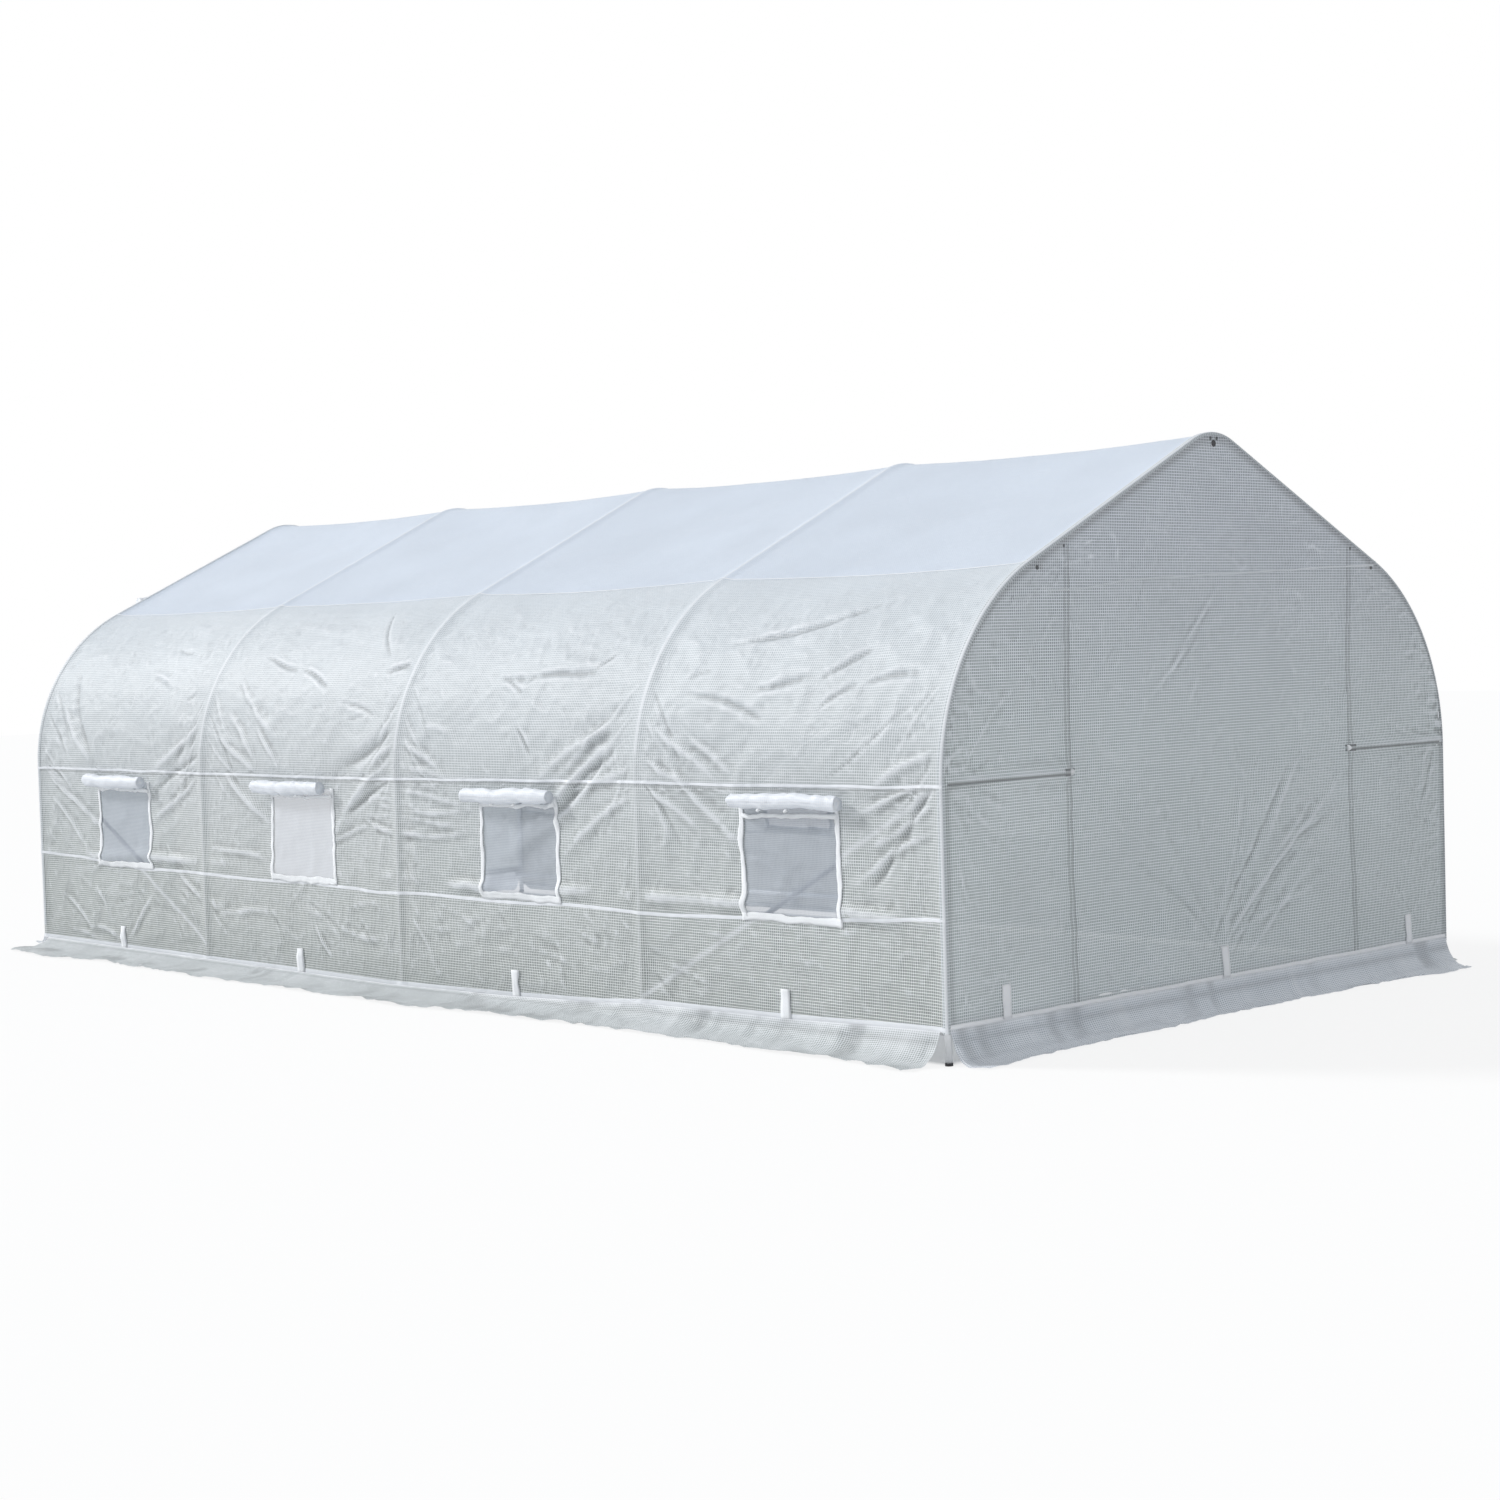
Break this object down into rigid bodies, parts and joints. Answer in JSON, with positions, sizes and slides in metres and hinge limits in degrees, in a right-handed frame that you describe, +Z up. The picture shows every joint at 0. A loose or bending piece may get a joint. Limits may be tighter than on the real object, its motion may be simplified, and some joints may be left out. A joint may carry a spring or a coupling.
{
  "type": "polytunnel greenhouse",
  "caption": "Walk-in garden polytunnel: bolted steel tube hoops and rails under a reinforced translucent film cover, with rolled-up mesh windows, ground skirts and an open doorway at one end.",
  "frame": {"origin": "on the ground under the middle of the tunnel, in the plane of the skirt's underside and the leg feet", "axes": "+X runs along the tunnel towards the plain end, so the doorway is at -X; nodes named left stand at -Y and nodes named right at +Y; +Z is up"},
  "size_m": [6.24, 3.4, 2.0947],
  "materials": {
    "galvanised_tube": "dull zinc",
    "roof_film": "translucent woven film",
    "wall_film": "translucent woven film",
    "rolled_film": "rolled woven film",
    "insect_mesh": "fine net",
    "webbing": "woven tape"
  },
  "bodies": {
    "root": {"base_rail_front": "galvanised_tube", "base_rail_left": "galvanised_tube", "base_rail_right": "galvanised_tube", "base_rails_back": "galvanised_tube", "corner_braces_left": "galvanised_tube", "corner_braces_right": "galvanised_tube", "cross_rails_back": "galvanised_tube", "cross_rails_front": "galvanised_tube", "door_border": "webbing", "door_roll": "rolled_film", "eave_cover_left": "roof_film", "eave_cover_right": "roof_film", "end_cover_back": "wall_film", "end_cover_front": "wall_film", "end_posts_back": "galvanised_tube", "end_posts_front": "galvanised_tube", "ground_straps": "webbing", "leg_tubes_left": "galvanised_tube", "leg_tubes_right": "galvanised_tube", "lower_cover_left": "wall_film", "lower_cover_right": "wall_film", "rafters_left": "galvanised_tube", "rafters_right": "galvanised_tube", "ridge_bends": "galvanised_tube", "ridge_purlin": "galvanised_tube", "roof_cover_left": "roof_film", "roof_cover_right": "roof_film", "shoulder_bends_left": "galvanised_tube", "shoulder_bends_right": "galvanised_tube", "shoulder_purlin_left": "galvanised_tube", "shoulder_purlin_right": "galvanised_tube", "skirt_back": "wall_film", "skirt_front": "wall_film", "skirt_left": "wall_film", "skirt_right": "wall_film", "waist_rail_left": "galvanised_tube", "waist_rail_right": "galvanised_tube", "window_band_left": "wall_film", "window_band_right": "wall_film", "window_borders_left": "webbing", "window_borders_right": "webbing", "window_flaps_left": "rolled_film", "window_flaps_right": "rolled_film", "window_mesh_left": "insect_mesh", "window_mesh_right": "insect_mesh"}
  },
  "joints": []
}
